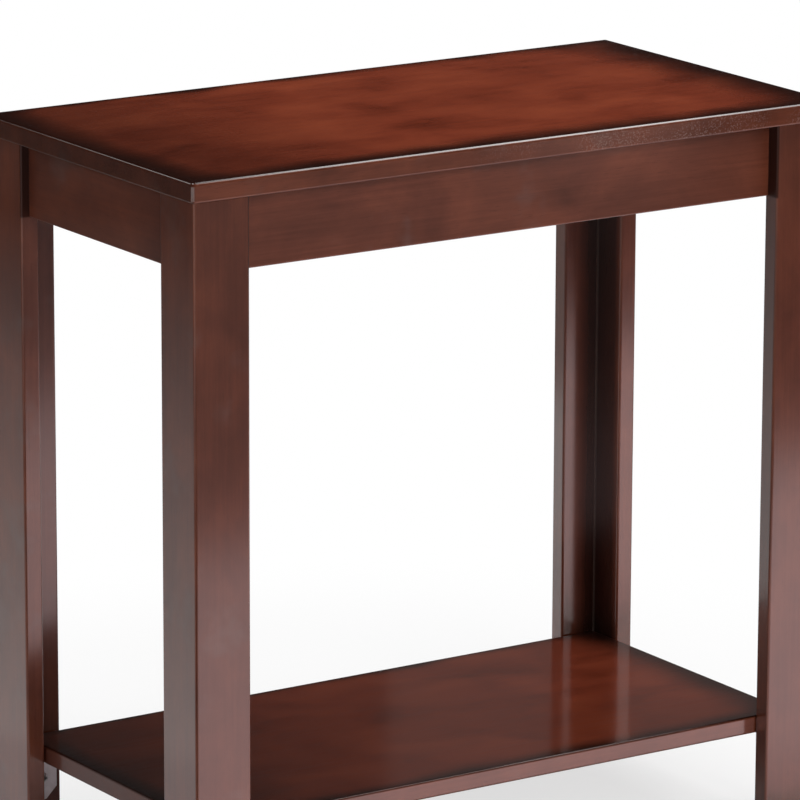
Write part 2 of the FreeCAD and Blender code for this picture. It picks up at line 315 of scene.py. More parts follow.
class Studio(PropertyGroup):
    """Pale floor, mirrored cards, soft lamps and the camera."""
    paper: colour_property("Paper", "Floor and backdrop", (0.90, 0.90, 0.90))
    shadow: colour_property("Room", "Dim room above the lamps' reach", (0.006, 0.006, 0.006))
    card: colour_property("Front card", "Card in front that the lacquer mirrors", (0.125, 0.125, 0.125))
    near_box_glow: glow_property("Near box glow", "Brightness of the soft box on the front card", 0.30)
    far_box_glow: glow_property("Far box glow", "Brightness of the soft box at the card's far right", 3.7)
    white: colour_property("White", "Tone of those soft boxes and of the corner sheet", (1.0, 1.0, 1.0))
    dark: colour_property("Dark card", "Darker card behind and beside", (0.04, 0.04, 0.04))
    floor_reach: length_property("Floor reach", "Radius of the flat floor", 12.0)
    wall_height: length_property("Wall height", "Height to which the backdrop curves up", 1.8)
    pool_inner: length_property("Pool start", "Radius out to which the floor is only lit", 0.40)
    pool_outer: length_property("Pool end", "Radius from which the floor is plain white", 0.85)
    pool_white: share_property("Pool white", "How far the shadow on the floor is lifted towards white", 0.70)
    fade: colour_property("Fading card", "Foot of the card that the left faces mirror", (0.75, 0.75, 0.75))
    rose: colour_property("Rose sheet", "Sheet on the floor that the front faces mirror", (1.0, 0.79, 0.80))
    rose_left: colour_property("Rose sheet left", "Left part of the rose sheet", (0.85, 0.67, 0.68))
    rose_glow: glow_property("Rose glow", "Brightness of the rose sheet", 1.7)
    rose_back: share_property("Rose back", "Brightness of the rose sheet close to the table", 0.8)
    rose_low: place_property("Rose sheet start", "Its left front corner", (-0.34, -1.12, FLOOR_SHEET))
    rose_high: place_property("Rose sheet end", "Its right back corner", (1.6, -0.22, FLOOR_SHEET))
    grey: colour_property("Grey sheet", "Sheet on the floor that the left faces mirror", (0.60, 0.59, 0.60))
    grey_low: place_property("Grey sheet start", "Its left front corner", (-1.0, -0.20, FLOOR_SHEET))
    grey_high: place_property("Grey sheet end", "Its right back corner", (-0.32, 0.80, FLOOR_SHEET))
    dusk: colour_property("Dusk sheet", "Dark sheet on the floor that the arrises mirror", (0.12, 0.12, 0.12))
    dusk_low: place_property("Dusk sheet start", "Its left front corner", (-1.6, -1.6, FLOOR_SHEET))
    dusk_high: place_property("Dusk sheet end", "Its right back corner", (-0.36, -0.21, FLOOR_SHEET))
    haze: colour_property("Haze card", "Card that the right half of the shelf mirrors", (0.105, 0.088, 0.085))
    dark_height: length_property("Dark card height", "Height of the dark cards", 0.80)
    dark_radius: length_property("Dark card radius", "Radius of the dark card behind and beside", 1.3)
    dark_front: length_property("Front card distance", "Distance of the dark card in front", 1.12)
    dark_start: angle_property("Dark card start", "Where the round dark card starts, from +X", -25.0)
    dark_sweep: angle_property("Dark card sweep", "How far the round dark card goes", 205.0)
    fade_radius: length_property("Fading card radius", "Radius of the card that fades upwards", 0.60)
    fade_height: length_property("Fading card height", "Height of the card that fades upwards", 0.48)
    fade_start: angle_property("Fading card start", "Where the fading card starts, from +X", 106.0)
    fade_sweep: angle_property("Fading card sweep", "How far the fading card goes round", 58.0)
    haze_radius: length_property("Haze card radius", "Radius of the card that the shelf mirrors", 1.25)
    haze_height: length_property("Haze card height", "Height of the card that the shelf mirrors", 0.40)
    haze_foot: length_property("Haze card foot", "Lower edge of the card that the shelf mirrors", 0.25)
    haze_start: angle_property("Haze card start", "Where the haze card starts, from +X", 15.0)
    haze_sweep: angle_property("Haze card sweep", "How far the haze card goes round", 43.0)
    strip: colour_property("Strip card", "Card that the back right leg's edge mirrors", (0.40, 0.34, 0.32))
    strip_height: length_property("Strip card height", "Height of that card", 0.35)
    strip_start: angle_property("Strip card start", "Where that card starts, from +X", 100.0)
    strip_sweep: angle_property("Strip card sweep", "How far that card goes round", 22.0)
    box_glow: glow_property("Box glow", "Brightness of the soft box over the front edge", 5.5)
    box_dim: colour_property("Soft box end", "Left end of that soft box", (0.04, 0.04, 0.04))
    box_half: colour_property("Soft box left", "Left part of that soft box", (0.74, 0.74, 0.74))
    box_full: colour_property("Soft box middle", "Middle of that soft box", (1.0, 1.0, 1.0))
    box_right: colour_property("Soft box right", "Right part of that soft box", (0.62, 0.62, 0.62))
    box_low: place_property("Soft box start", "Its left front corner", (0.80, -1.2, OVERHEAD))
    box_high: place_property("Soft box stop", "Its right back corner", (2.0, 0.85, OVERHEAD))
    key_place: place_property("Key lamp", "Place of the main soft lamp", (1.3, -0.1, 2.6))
    key_width: length_property("Key width", "Side of the main soft lamp", 1.8)
    key_power: power_property("Key power", "Power of the main soft lamp", 50.0)
    front_place: place_property("Front lamp", "Place of the soft lamp in front", (-0.2, -3.0, 1.9))
    front_width: length_property("Front width", "Side of the soft lamp in front", 1.6)
    front_power: power_property("Front power", "Power of the soft lamp in front", 52.0)
    left_place: place_property("Left lamp", "Place of the soft lamp on the left", (-2.2, 0.5, 1.7))
    left_width: length_property("Left width", "Side of the soft lamp on the left", 1.4)
    left_power: power_property("Left power", "Power of the soft lamp on the left", 12.0)
    back_place: place_property("Back lamp", "Place of the soft lamp high behind", (0.3, 1.7, 3.0))
    back_width: length_property("Back width", "Side of the soft lamp high behind", 1.6)
    back_power: power_property("Back power", "Power of the soft lamp high behind", 26.0)
    edge_place: place_property("Edge lamp", "Place of the small lamp for the left edge", (-0.83, 1.6, 1.79))
    edge_width: length_property("Edge width", "Side of the small lamp for the left edge", 0.5)
    edge_power: power_property("Edge power", "Power of the small lamp for the left edge", 1.3)
    corner_glow: glow_property("Corner glow", "Brightness of the sheet over the front left corner", 5.0)
    corner_low: place_property("Corner sheet start", "Its left front corner", (-1.05, -0.40, OVERHEAD))
    corner_high: place_property("Corner sheet end", "Its right back corner", (-0.36, 0.70, OVERHEAD))
    aim_height: length_property("Aim height", "Height at which the lamps are aimed", 0.35)
    azimuth: angle_property("Azimuth", "Turn of the camera round the table", -34.07)
    elevation: angle_property("Elevation", "Camera's angle above the horizon", 14.05)
    roll: angle_property("Roll", "Lean of the camera", 0.35)
    eye: place_property("Eye", "Place of the camera", (-2.589, -3.903, 1.539))
    lens: FloatProperty(name="Lens", description="Focal length for a 36 mm wide picture", default=266.6,
                        unit="CAMERA")
    sideways: FloatProperty(name="Sideways shift", description="Shift of the picture to the side",
                            default=-0.0775)


class EndTable(PropertyGroup):
    """All settings of the table."""
    cherry: PointerProperty(name="Cherry finish", description="Stain and lacquer", type=CherryFinish)
    hardware: PointerProperty(name="Hardware finish", description="Blocks, plating and screws",
                              type=HardwareFinish)
    studio: PointerProperty(name="Studio", description="Floor, cards, lamps and camera", type=Studio)


def solid(colour):
    """A colour property as the four numbers of a shader socket."""
    return (*colour, 1.0)


class Shader:
    """A material's nodes, with short ways to add and link them."""

    def __init__(self, name):
        self.material = bpy.data.materials.new(name)
        self.material.use_nodes = True
        self.tree = self.material.node_tree
        self.tree.nodes.clear()
        self.place = self.add("ShaderNodeTexCoord").outputs["Object"]

    def add(self, kind, sockets=None, **settings):
        """Add a node, then link or set its inputs."""
        node = self.tree.nodes.new(kind)
        for setting, value in settings.items():
            setattr(node, setting, value)
        for key, value in (sockets or {}).items():
            if isinstance(value, NodeSocket):
                self.tree.links.new(value, node.inputs[key])
            else:
                node.inputs[key].default_value = value
        return node

    def math(self, operation, first, second=0.0):
        return self.add("ShaderNodeMath", {0: first, 1: second}, operation=operation).outputs[0]

    def total(self, *terms):
        """Sum of values that are each weighed by a number."""
        running = 0.0
        for value, weight in terms:
            running = self.math("ADD", running, self.math("MULTIPLY", value, weight))
        return running

    def step(self, value, start, end):
        """Smooth step from 0 at the start to 1 at the end, whichever is larger."""
        sockets = {"Value": value, "From Min": start, "From Max": end}
        return self.add("ShaderNodeMapRange", sockets, interpolation_type="SMOOTHSTEP").outputs["Result"]

    def mix(self, share, first, second):
        """Colour that goes from the first to the second as the share goes from 0 to 1."""
        sockets = {MIX_SHARE: share, MIX_FIRST: first, MIX_SECOND: second}
        return self.add("ShaderNodeMix", sockets, data_type="RGBA").outputs[MIX_RESULT]

    def grain(self, along, width, length):
        """Object coordinates counted in grain widths, and in grain lengths along the board."""
        scale = [1.0 / width] * 3
        scale[along] = 1.0 / length
        return self.add("ShaderNodeMapping", {"Vector": self.place, "Scale": scale}).outputs[0]

    def noise(self, place, detail=2.0, roughness=0.5, distortion=0.0, scale=1.0):
        """Cloudy values round the middle of the range from 0 to 1."""
        sockets = {"Vector": place, "Scale": scale, "Detail": detail, "Roughness": roughness,
                   "Distortion": distortion}
        return self.add("ShaderNodeTexNoise", sockets).outputs[0]

    def tones(self, value, stops):
        """Colour ramp through pairs of position and colour."""
        node = self.add("ShaderNodeValToRGB", {"Fac": value})
        ramp = node.color_ramp
        while len(ramp.elements) < len(stops):
            ramp.elements.new(1.0)
        for element, (position, colour) in zip(ramp.elements, stops):
            element.position = position
            element.color = solid(colour)
        return node.outputs["Color"]

    def axes(self, place):
        """The three parts of a place or colour."""
        return self.add("ShaderNodeSeparateXYZ", {0: place}).outputs

    def inside(self, low, high):
        """Depths below the sides of a box and of the boxes that mirror it in X and Y."""
        x, y, z = self.axes(self.place)
        mirrored = (self.math("ABSOLUTE", x), self.math("ABSOLUTE", y), z)
        depths = []
        for value, start, end in zip(mirrored, low, high):
            offset = self.math("ABSOLUTE", self.math("SUBTRACT", value, (start + end) / 2))
            depths.append(self.math("SUBTRACT", (end - start) / 2, offset))
        return depths

    def arris(self, low, high):
        """Distance from the nearest arris of a board: the middle one of its three depths."""
        first, second, third = self.inside(low, high)
        lesser = self.math("MINIMUM", first, second)
        greater = self.math("MAXIMUM", first, second)
        return self.math("MAXIMUM", lesser, self.math("MINIMUM", greater, third))

    def bump(self, height, distance, normal=None):
        """Normal of a surface raised by a height, over another bump if one is given."""
        sockets = {"Height": height, "Distance": distance}
        if normal is not None:
            sockets["Normal"] = normal
        return self.add("ShaderNodeBump", sockets).outputs[0]

    def finish(self, shader):
        """Link the last shader to the output and hand the material over."""
        self.add("ShaderNodeOutputMaterial", {"Surface": shader})
        return self.material


def cherry_material(name, finish, along, box, stops, panel=None, leg=None):
    """Stained wood with streaks, clouds and pores along one axis, rubbed arrises and clear lacquer, grey
    patches of painted sheen on the left, and painted shade in a leg's recess and inside corner.
    """
    shader = Shader(name)
    streak = shader.noise(shader.grain(along, finish.streak_width, finish.streak_length),
                          detail=5.0, roughness=0.6, distortion=0.3)
    cloud = shader.noise(shader.grain(along, finish.blotch_width, finish.blotch_length),
                         detail=4.0, roughness=0.55, distortion=0.35)
    pore = shader.noise(shader.grain(along, finish.pore_width, finish.pore_length))
    pore = shader.step(pore, *PORE_RANGE)
    # Painted sheen: grey patches for a hazy reflection, only on the left half
    painted_sheen = shader.noise(shader.place, detail=3.0, roughness=0.6, scale=1.0 / finish.painted_sheen_size)
    painted_sheen = shader.step(painted_sheen, *PAINTED_SHEEN_RANGE)
    left = shader.step(shader.axes(shader.place)[ALONG_X], finish.painted_sheen_end, 0.0)
    painted_sheen = shader.math("MULTIPLY", painted_sheen, left)
    tone = shader.total((cloud, CLOUD_TONE), (streak, STREAK_TONE))
    colour = shader.tones(tone, stops)
    colour = shader.mix(shader.math("MULTIPLY", painted_sheen, finish.painted_sheen_full), colour, solid(finish.painted_sheen))
    deepest = stops[0][1]
    colour = shader.mix(shader.math("MULTIPLY", pore, finish.pore_full), colour, solid(deepest))
    arris = shader.step(shader.arris(*box), finish.wear_width, finish.wear_width * WEAR_CORE)
    patchy = shader.step(streak, *RUB_RANGE)
    worn = shader.math("MULTIPLY", arris, shader.math("MULTIPLY", patchy, finish.wear))
    colour = shader.mix(worn, colour, solid(finish.rubbed))
    thin = shader.math("MULTIPLY", arris, finish.thin_lacquer)
    shine = finish.board_shine
    gloss = finish.board_gloss
    if panel is not None:
        colour = panel_face(shader, finish, box, tone, colour, panel)
        thin = panel_dryness(shader, box, arris, thin, panel.dryness)
        shine = panel.shine
        gloss = finish.panel_gloss
    bottom = box[0].z
    under = shader.step(shader.axes(shader.place)[ALONG_Z], bottom + SKIN, bottom + SKIN / 2)
    thin = shader.math("MAXIMUM", thin, shader.math("MULTIPLY", under, finish.under_dry))
    if leg is not None:
        recess, inside, seam = leg_masks(shader, box, leg)
        # Painted shade in the recess by the aprons and in the legs' inside corners, in the burnish colour
        toner = shader.math("MAXIMUM", shader.math("MULTIPLY", recess, finish.recess_painted_shade),
                            shader.math("MULTIPLY", inside, finish.inside_painted_shade))
        colour = shader.mix(toner, colour, solid(finish.burnish))
        colour = shader.mix(seam, colour, solid(finish.seam))
        thin = shader.math("MAXIMUM", thin, shader.math("MULTIPLY", recess, finish.recess_dry))
    roughness = shader.total((streak, STREAK_ROUGHNESS), (cloud, CLOUD_ROUGHNESS), (worn, RUB_ROUGHNESS),
                             (finish.stain_gloss, STAIN_ROUGHNESS))
    ripple = shader.noise(shader.place, detail=1.0, scale=1.0 / finish.peel_size)
    lacquer_skin = shader.bump(ripple, finish.peel_depth)
    wood_skin = shader.bump(shader.math("SUBTRACT", 1.0, pore), finish.pore_depth, lacquer_skin)
    surface = shader.add("ShaderNodeBsdfPrincipled", {
        "Base Color": colour,
        "Roughness": roughness,
        "Normal": wood_skin,
        "Coat Normal": lacquer_skin,
        "Coat Weight": shader.math("MULTIPLY", shader.math("SUBTRACT", 1.0, thin), finish.lacquer),
        "Coat Roughness": gloss,
        "Coat IOR": finish.lacquer_index,
        "Specular IOR Level": shine,
        "Specular Tint": solid(finish.undertone),
    })
    return shader.finish(surface.outputs[0])


def leg_masks(shader, box, leg):
    """Parts of a leg board: its free edge by an apron and its inner side near the L's corner, which get
    painted shade, and that corner's seam.
    """
    low, high = box
    spread = high - low
    places = shader.axes(shader.place)
    across = shader.math("ABSOLUTE", places[leg.free])
    deep = shader.math("ABSOLUTE", places[leg.inner])
    edge = shader.step(across, low[leg.free] + SKIN * 2, low[leg.free] + SKIN)
    beside = shader.step(places[ALONG_Z], leg.aprons_start - SKIN, leg.aprons_start + SKIN)
    recess = shader.math("MULTIPLY", edge, beside)
    inward = shader.step(deep, low[leg.inner] + SKIN * 2, low[leg.inner] + SKIN)
    corner = high[leg.free] - spread[leg.inner]
    start = low[leg.free]
    width = corner - start
    # Ramp of the painted shade across the inner side, towards the inside corner
    painted_shade_ramp = shader.step(across, *(start + width * share for share in leg.toner))
    inside = shader.math("MULTIPLY", inward, painted_shade_ramp)
    seam = shader.math("MULTIPLY", inward, shader.step(across, corner - SKIN, corner - SKIN / 2))
    return recess, inside, seam


def end_grain(shader, box):
    """The ends of a panel, with their rounds."""
    high = box[1]
    x = shader.axes(shader.place)[ALONG_X]
    return shader.step(shader.math("ABSOLUTE", x), high.x - SKIN * 3, high.x - SKIN)


def panel_dryness(shader, box, arris, rubbed, dryness):
    """Where a panel's lacquer is thin: on its lower arrises and, if dry, on its ends and upper arrises."""
    low, high = box
    lower = shader.step(shader.axes(shader.place)[ALONG_Z], (low.z + high.z) / 2, low.z)
    soaked = shader.math("MAXIMUM", end_grain(shader, box), arris)
    return shader.math("MAXIMUM", shader.math("MULTIPLY", rubbed, lower),
                       shader.math("MULTIPLY", soaked, dryness))


def painted_glints(shader, finish, box, strength):
    """Painted glints: pale dots that stand for light sparkling in the lacquer, in loose patches towards the
    right.
    """
    low, high = box
    cells = shader.add("ShaderNodeTexVoronoi", {"Vector": shader.place, "Scale": 1.0 / finish.painted_glint_size})
    dot = shader.step(cells.outputs["Distance"], *GLINT_DOT_RANGE)
    chance = shader.axes(cells.outputs["Color"])[0]
    chosen = shader.step(chance, *GLINT_CHOICE_RANGE)
    patch = shader.step(shader.noise(shader.place, scale=1.0 / finish.painted_sheen_size), *GLINT_PATCH_RANGE)
    right = shader.step(shader.axes(shader.place)[ALONG_X], low.x / 3, high.x / 2)
    glint_dot = shader.math("MULTIPLY", shader.math("MULTIPLY", dot, chosen), strength)
    return shader.math("MULTIPLY", glint_dot, shader.math("MULTIPLY", patch, right))


def panel_face(shader, finish, box, tone, edge_colour, panel):
    """Brighter stain on a panel's upper face, under toner that fades in from its edges, and a mist from the
    left end that is partly toner and partly painted shade.
    """
    low, high = box
    x, y, z = shader.axes(shader.place)
    wander = shader.noise(shader.place, detail=1.0, scale=1.0 / finish.burnish_wave)
    sway = finish.burnish_drift * 2 * panel.border
    drift = shader.math("MULTIPLY", shader.math("SUBTRACT", wander, NOISE_MIDDLE), sway)
    sides = (
        (shader.math("SUBTRACT", y, low.y), finish.burnish_front),
        (shader.math("SUBTRACT", high.y, y), finish.burnish_back),
        (shader.math("SUBTRACT", x, low.x), finish.burnish_left),
        (shader.math("SUBTRACT", high.x, x), finish.burnish_right),
    )
    clear = 1.0
    for distance, width in sides:
        reach = shader.math("ADD", distance, drift)
        clear = shader.math("MULTIPLY", clear, shader.step(reach, 0.0, width * panel.border))
    toner = shader.math("POWER", shader.math("SUBTRACT", 1.0, clear), finish.burnish_curve)
    toner = shader.math("MULTIPLY", toner, finish.burnish_full)
    # Mist from the left end: partly toner, partly painted shade of the light falling off towards the left
    mist_and_painted_shade = shader.step(shader.math("SUBTRACT", x, low.x), finish.overspray_and_painted_shade, 0.0)
    toner = shader.math("MAXIMUM", toner, shader.math("MULTIPLY", mist_and_painted_shade, finish.overspray_and_painted_shade_full))
    face = shader.tones(tone, panel_stops(finish, panel.shade))
    face = shader.mix(toner, face, solid(finish.burnish))
    # Painted glints on the edge, where the light sparkles in the lacquer
    glint_dot = painted_glints(shader, finish, box, panel.specks)
    edge = shader.mix(glint_dot, edge_colour, solid(finish.painted_glint))
    # End grain in the burnish colour: darker stain, partly painted shade
    ends = shader.math("MULTIPLY", end_grain(shader, box), finish.end_toner_and_painted_shade)
    edge = shader.mix(ends, edge, solid(finish.burnish))
    upper = shader.step(z, high.z - FACE_DEPTH, high.z - FACE_DEPTH / 4)
    return shader.mix(upper, edge, face)


def shaded_stops(places, tones, shade):
    """Pairs of place and tone for a colour ramp, with every tone dimmed by the shade."""
    return tuple((place, [part * shade for part in tone]) for place, tone in zip(places, tones))


def panel_stops(finish, shade):
    """Stain of a panel's upper face."""
    return shaded_stops(PANEL_TONE_PLACES, (finish.deep, finish.middle, finish.glow), shade)


def board_stops(finish, shade=1.0):
    """Stain of legs, aprons and panel edges."""
    tones = (finish.board_deep, finish.board_middle, finish.board_glow)
    return shaded_stops(BOARD_TONE_PLACES, tones, shade)


def block_material(hardware, finish, box):
    """Planed, unfinished hardwood."""
    shader = Shader("raw_hardwood")
    streak = shader.noise(shader.grain(ALONG_Z, finish.streak_width, finish.streak_length),
                          detail=5.0, roughness=0.6, distortion=0.5)
    pore = shader.noise(shader.grain(ALONG_Z, finish.pore_width, finish.pore_length))
    colour = shader.tones(streak, tuple(zip(BLOCK_TONE_PLACES, (hardware.block_grain, hardware.block))))
    worn = shader.step(shader.arris(*box), finish.wear_width, 0.0)
    colour = shader.mix(shader.math("MULTIPLY", worn, finish.wear), colour, solid(hardware.block_grain))
    roughness = shader.total((streak, BLOCK_STREAK_ROUGHNESS), (pore, BLOCK_PORE_ROUGHNESS),
                             (worn, BLOCK_RUB_ROUGHNESS), (BLOCK_ROUGHNESS, 1.0))
    relief = shader.total((pore, BLOCK_PORE_RELIEF), (streak, BLOCK_STREAK_RELIEF))
    surface = shader.add("ShaderNodeBsdfPrincipled", {
        "Base Color": colour,
        "Roughness": roughness,
        "Normal": shader.bump(relief, finish.pore_depth * BLOCK_RELIEF_DEPTH),
        "Specular IOR Level": BLOCK_SHINE,
    })
    return shader.finish(surface.outputs[0])


def zinc_material(name, bright, dull, metal, hardware):
    """Plated steel with faint crystals, dulled patches and small dents."""
    shader = Shader(name)
    cells = shader.add("ShaderNodeTexVoronoi", {"Vector": shader.place, "Scale": 1.0 / hardware.spangle})
    crystal = shader.axes(cells.outputs["Color"])[0]
    patch = shader.noise(shader.place, detail=4.0, roughness=0.6, scale=ZINC_PATCH_SCALE / hardware.spangle)
    scratch = shader.noise(shader.grain(ALONG_X, hardware.spangle * ZINC_SCRATCH_WIDTH,
                                        hardware.spangle * ZINC_SCRATCH_LENGTH))
    dulled = shader.total((crystal, CRYSTAL_DULLNESS), (shader.step(patch, *DULL_RANGE), PATCH_DULLNESS))
    colour = shader.mix(dulled, solid(bright), solid(dull))
    roughness = shader.total((dulled, DULL_ROUGHNESS), (scratch, SCRATCH_ROUGHNESS), (ZINC_ROUGHNESS, 1.0))
    relief = shader.total((patch, PATCH_RELIEF), (scratch, SCRATCH_RELIEF))
    surface = shader.add("ShaderNodeBsdfPrincipled", {
        "Base Color": colour,
        "Roughness": roughness,
        "Metallic": metal,
        "Normal": shader.bump(relief, hardware.dent),
    })
    return shader.finish(surface.outputs[0])


def dress(node, material):
    """Give a CAD node its finish."""
    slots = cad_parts[node].data.materials
    slots.clear()
    slots.append(material)


class TABLE_OT_top(Operator):
    """Stain, burnish and lacquer the top panel"""
    bl_idname = "end_table.top"
    bl_label = "Top panel"

    def execute(self, context):
        finish = context.scene.end_table.cherry
        look = PanelLook(shade=1.0, border=1.0, specks=finish.painted_glint_full, shine=finish.top_shine,
                         dryness=0.0)
        dress("top_panel", cherry_material("top_finish", finish, ALONG_X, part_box("top_panel"),
                                           board_stops(finish), panel=look))
        return {"FINISHED"}


class TABLE_OT_shelf(Operator):
    """Stain, burnish and lacquer the shelf"""
    bl_idname = "end_table.shelf"
    bl_label = "Shelf panel"

    def execute(self, context):
        finish = context.scene.end_table.cherry
        look = PanelLook(shade=finish.shelf_shade, border=finish.shelf_border, specks=0.0,
                         shine=finish.shelf_shine, dryness=finish.shelf_dry)
        dress("shelf_panel", cherry_material("shelf_finish", finish, ALONG_X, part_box("shelf_panel"),
                                             board_stops(finish), panel=look))
        return {"FINISHED"}


class TABLE_OT_aprons(Operator):
    """Stain and lacquer the four aprons, with the grain along each"""
    bl_idname = "end_table.aprons"
    bl_label = "Aprons"

    def execute(self, context):
        finish = context.scene.end_table.cherry
        stops = board_stops(finish)
        long_finish = cherry_material("long_apron_finish", finish, ALONG_X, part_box("back_apron"), stops)
        end_finish = cherry_material("end_apron_finish", finish, ALONG_Y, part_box("right_apron"), stops)
        dress("front_apron", long_finish)
        dress("back_apron", long_finish)
        dress("left_apron", end_finish)
        dress("right_apron", end_finish)
        return {"FINISHED"}


class TABLE_OT_legs(Operator):
    """Stain and lacquer the eight leg boards, with upright grain"""
    bl_idname = "end_table.legs"
    bl_label = "Legs"

    def execute(self, context):
        finish = context.scene.end_table.cherry
        aprons_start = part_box("front_apron")[0].z
        # Face boards and side boards get lit and shaded copies of one stain
        boards = (
            ("leg_face_board", finish.leg_face_painted_shade, LegLook(ALONG_X, ALONG_Y, aprons_start, FACE_PAINTED_SHADE)),
            ("leg_side_board", finish.leg_side_painted_shade, LegLook(ALONG_Y, ALONG_X, aprons_start, SIDE_PAINTED_SHADE)),
        )
        for board, shade, look in boards:
            material = cherry_material(board + "_finish", finish, ALONG_Z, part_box("back_right_" + board),
                                       board_stops(finish, shade), leg=look)
            for corner in CORNERS:
                dress(corner + "_" + board, material)
        return {"FINISHED"}


class TABLE_OT_blocks(Operator):
    """Give the corner blocks their raw wood"""
    bl_idname = "end_table.blocks"
    bl_label = "Corner blocks"

    def execute(self, context):
        table = context.scene.end_table
        material = block_material(table.hardware, table.cherry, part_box("back_right_corner_block"))
        for corner in CORNERS:
            dress(corner + "_corner_block", material)
        return {"FINISHED"}


class TABLE_OT_brackets(Operator):
    """Plate the shelf brackets"""
    bl_idname = "end_table.brackets"
    bl_label = "Shelf brackets"

    def execute(self, context):
        hardware = context.scene.end_table.hardware
        material = zinc_material("zinc_plate", hardware.zinc, hardware.zinc_dull, hardware.zinc_metal,
                                 hardware)
        for corner in CORNERS:
            dress(corner + "_shelf_bracket", material)
        return {"FINISHED"}


def ring_edges(verts):
    """Edges that join the vertices of one ring."""
    members = set(verts)
    return [edge for edge in {edge for vert in verts for edge in vert.link_edges}
            if all(vert in members for vert in edge.verts)]


def next_ring(mesh, ring, radius, height):
    """Extrude a ring of vertices round the Z axis to a new radius and height."""
    made = bmesh.ops.extrude_edge_only(mesh, edges=ring_edges(ring))["geom"]
    verts = [item for item in made if isinstance(item, bmesh.types.BMVert)]
    for vert in verts:
        flat = Vector((vert.co.x, vert.co.y)).normalized() * radius
        vert.co = (flat.x, flat.y, height)
    return verts


def cross_recess(mesh, width, top, depth):
    """Plus-shaped pocket that faces down from the top level; returns its upper rim."""
    sheet = bmesh.ops.create_grid(mesh, x_segments=3, y_segments=3, size=width / 2)["verts"]
    bmesh.ops.translate(mesh, verts=sheet, vec=(0.0, 0.0, top))
    faces = list({face for vert in sheet for face in vert.link_faces})
    arm = width / 6
    corners = [face for face in faces
               if min(abs(face.calc_center_median().x), abs(face.calc_center_median().y)) > arm]
    bmesh.ops.delete(mesh, geom=corners, context="FACES")
    floor = [face for face in faces if face.is_valid]
    made = bmesh.ops.extrude_face_region(mesh, geom=floor)["geom"]
    bmesh.ops.delete(mesh, geom=[face for face in floor if face.is_valid], context="FACES_ONLY")
    lowered = [item for item in made if isinstance(item, bmesh.types.BMVert)]
    bmesh.ops.translate(mesh, verts=lowered, vec=(0.0, 0.0, -depth))
    bmesh.ops.scale(mesh, verts=lowered, vec=(RECESS_FLOOR_SHARE, RECESS_FLOOR_SHARE, 1.0))
    return [edge for edge in mesh.edges if edge.is_boundary and all(v.co.z == top for v in edge.verts)]


def screw_mesh(hardware, head_diameter, height, length):
    """Screw that points along +Z from its head's seat at the origin, with a domed head and a point."""
    mesh = bmesh.new()
    radius = head_diameter / 2
    rim = height * hardware.edge_share
    shank = radius * hardware.shank_share
    recess = head_diameter * hardware.recess_share
    crown = recess / 2 * CROWN_SHARE
    pocket = cross_recess(mesh, recess, height, height * RECESS_DEPTH_SHARE)
    ring = bmesh.ops.create_circle(mesh, segments=hardware.sides, radius=crown)["verts"]
    bmesh.ops.translate(mesh, verts=ring, vec=(0.0, 0.0, height))
    bmesh.ops.bridge_loops(mesh, edges=pocket + ring_edges(ring))
    for turn in DOME_TURNS:
        angle = turn * math.pi / 2
        across = crown + (radius - crown) * math.sin(angle)
        ring = next_ring(mesh, ring, across, rim + (height - rim) * math.cos(angle))
    ring = next_ring(mesh, ring, radius, 0.0)
    ring = next_ring(mesh, ring, shank, 0.0)
    point = head_diameter * hardware.point_share
    ring = next_ring(mesh, ring, shank, point - length)
    ring = next_ring(mesh, ring, shank * TIP_SHARE, -length)
    bmesh.ops.edgeloop_fill(mesh, edges=ring_edges(ring))
    bmesh.ops.rotate(mesh, verts=mesh.verts, cent=(0.0, 0.0, 0.0), matrix=Matrix.Rotation(math.pi, 3, "X"))
    bmesh.ops.recalc_face_normals(mesh, faces=mesh.faces)
    return mesh


def one_screw_spots(node):
    """Vertices of the screw in the corner where X and Y are positive."""
    return [vert.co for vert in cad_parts[node].data.vertices if vert.co.x > 0 and vert.co.y > 0]


def head_height(spots, centre, axis, radius):
    """Height of a plain screw head: the length over which the vertices lie out at its rim."""
    rim = []
    for spot in spots:
        offset = spot - centre
        offset[axis] = 0.0
        if offset.length > radius * HEAD_RIM_SHARE:
            rim.append(spot[axis])
    return max(rim) - min(rim)


def screw_group(node, pattern, direction, hardware, material):
    """Four screws that stand for a CAD group, mirrored to the four corners."""
    spots = one_screw_spots(node)
    low = Vector([min(spot[axis] for spot in spots) for axis in range(3)])
    high = Vector([max(spot[axis] for spot in spots) for axis in range(3)])
    centre = (low + high) / 2
    spread = high - low
    diameter = min(spread)
    axis = max(range(3), key=lambda index: spread[index])
    head = head_height(spots, centre, axis, diameter / 2)
    length = spread[axis] - head
    seat = centre.copy()
    seat[axis] = centre[axis] - direction[axis] * (spread[axis] / 2 - head)
    one = screw_mesh(hardware, diameter, head, length)
    turn = Vector((0.0, 0.0, 1.0)).rotation_difference(direction).to_matrix().to_4x4()
    bmesh.ops.transform(one, matrix=Matrix.Translation(seat) @ turn, verts=one.verts)
    single = bpy.data.meshes.new(pattern)
    one.to_mesh(single)
    one.free()
    group = bmesh.new()
    for side in (1.0, -1.0):
        for end in (1.0, -1.0):
            count = len(group.verts)
            group.from_mesh(single)
            group.verts.ensure_lookup_table()
            bmesh.ops.scale(group, verts=group.verts[count:], vec=(end, side, 1.0))
    bmesh.ops.recalc_face_normals(group, faces=group.faces)
    bpy.data.meshes.remove(single)
    mesh = bpy.data.meshes.new(pattern)
    group.to_mesh(mesh)
    group.free()
    mesh.materials.append(material)
    piece = bpy.data.objects.new(pattern, mesh)
    bpy.context.scene.collection.objects.link(piece)
    mesh.shade_smooth()
    mesh.set_sharp_from_angle(angle=SMOOTH_ANGLE)
    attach(piece, "root")
    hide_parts(node)


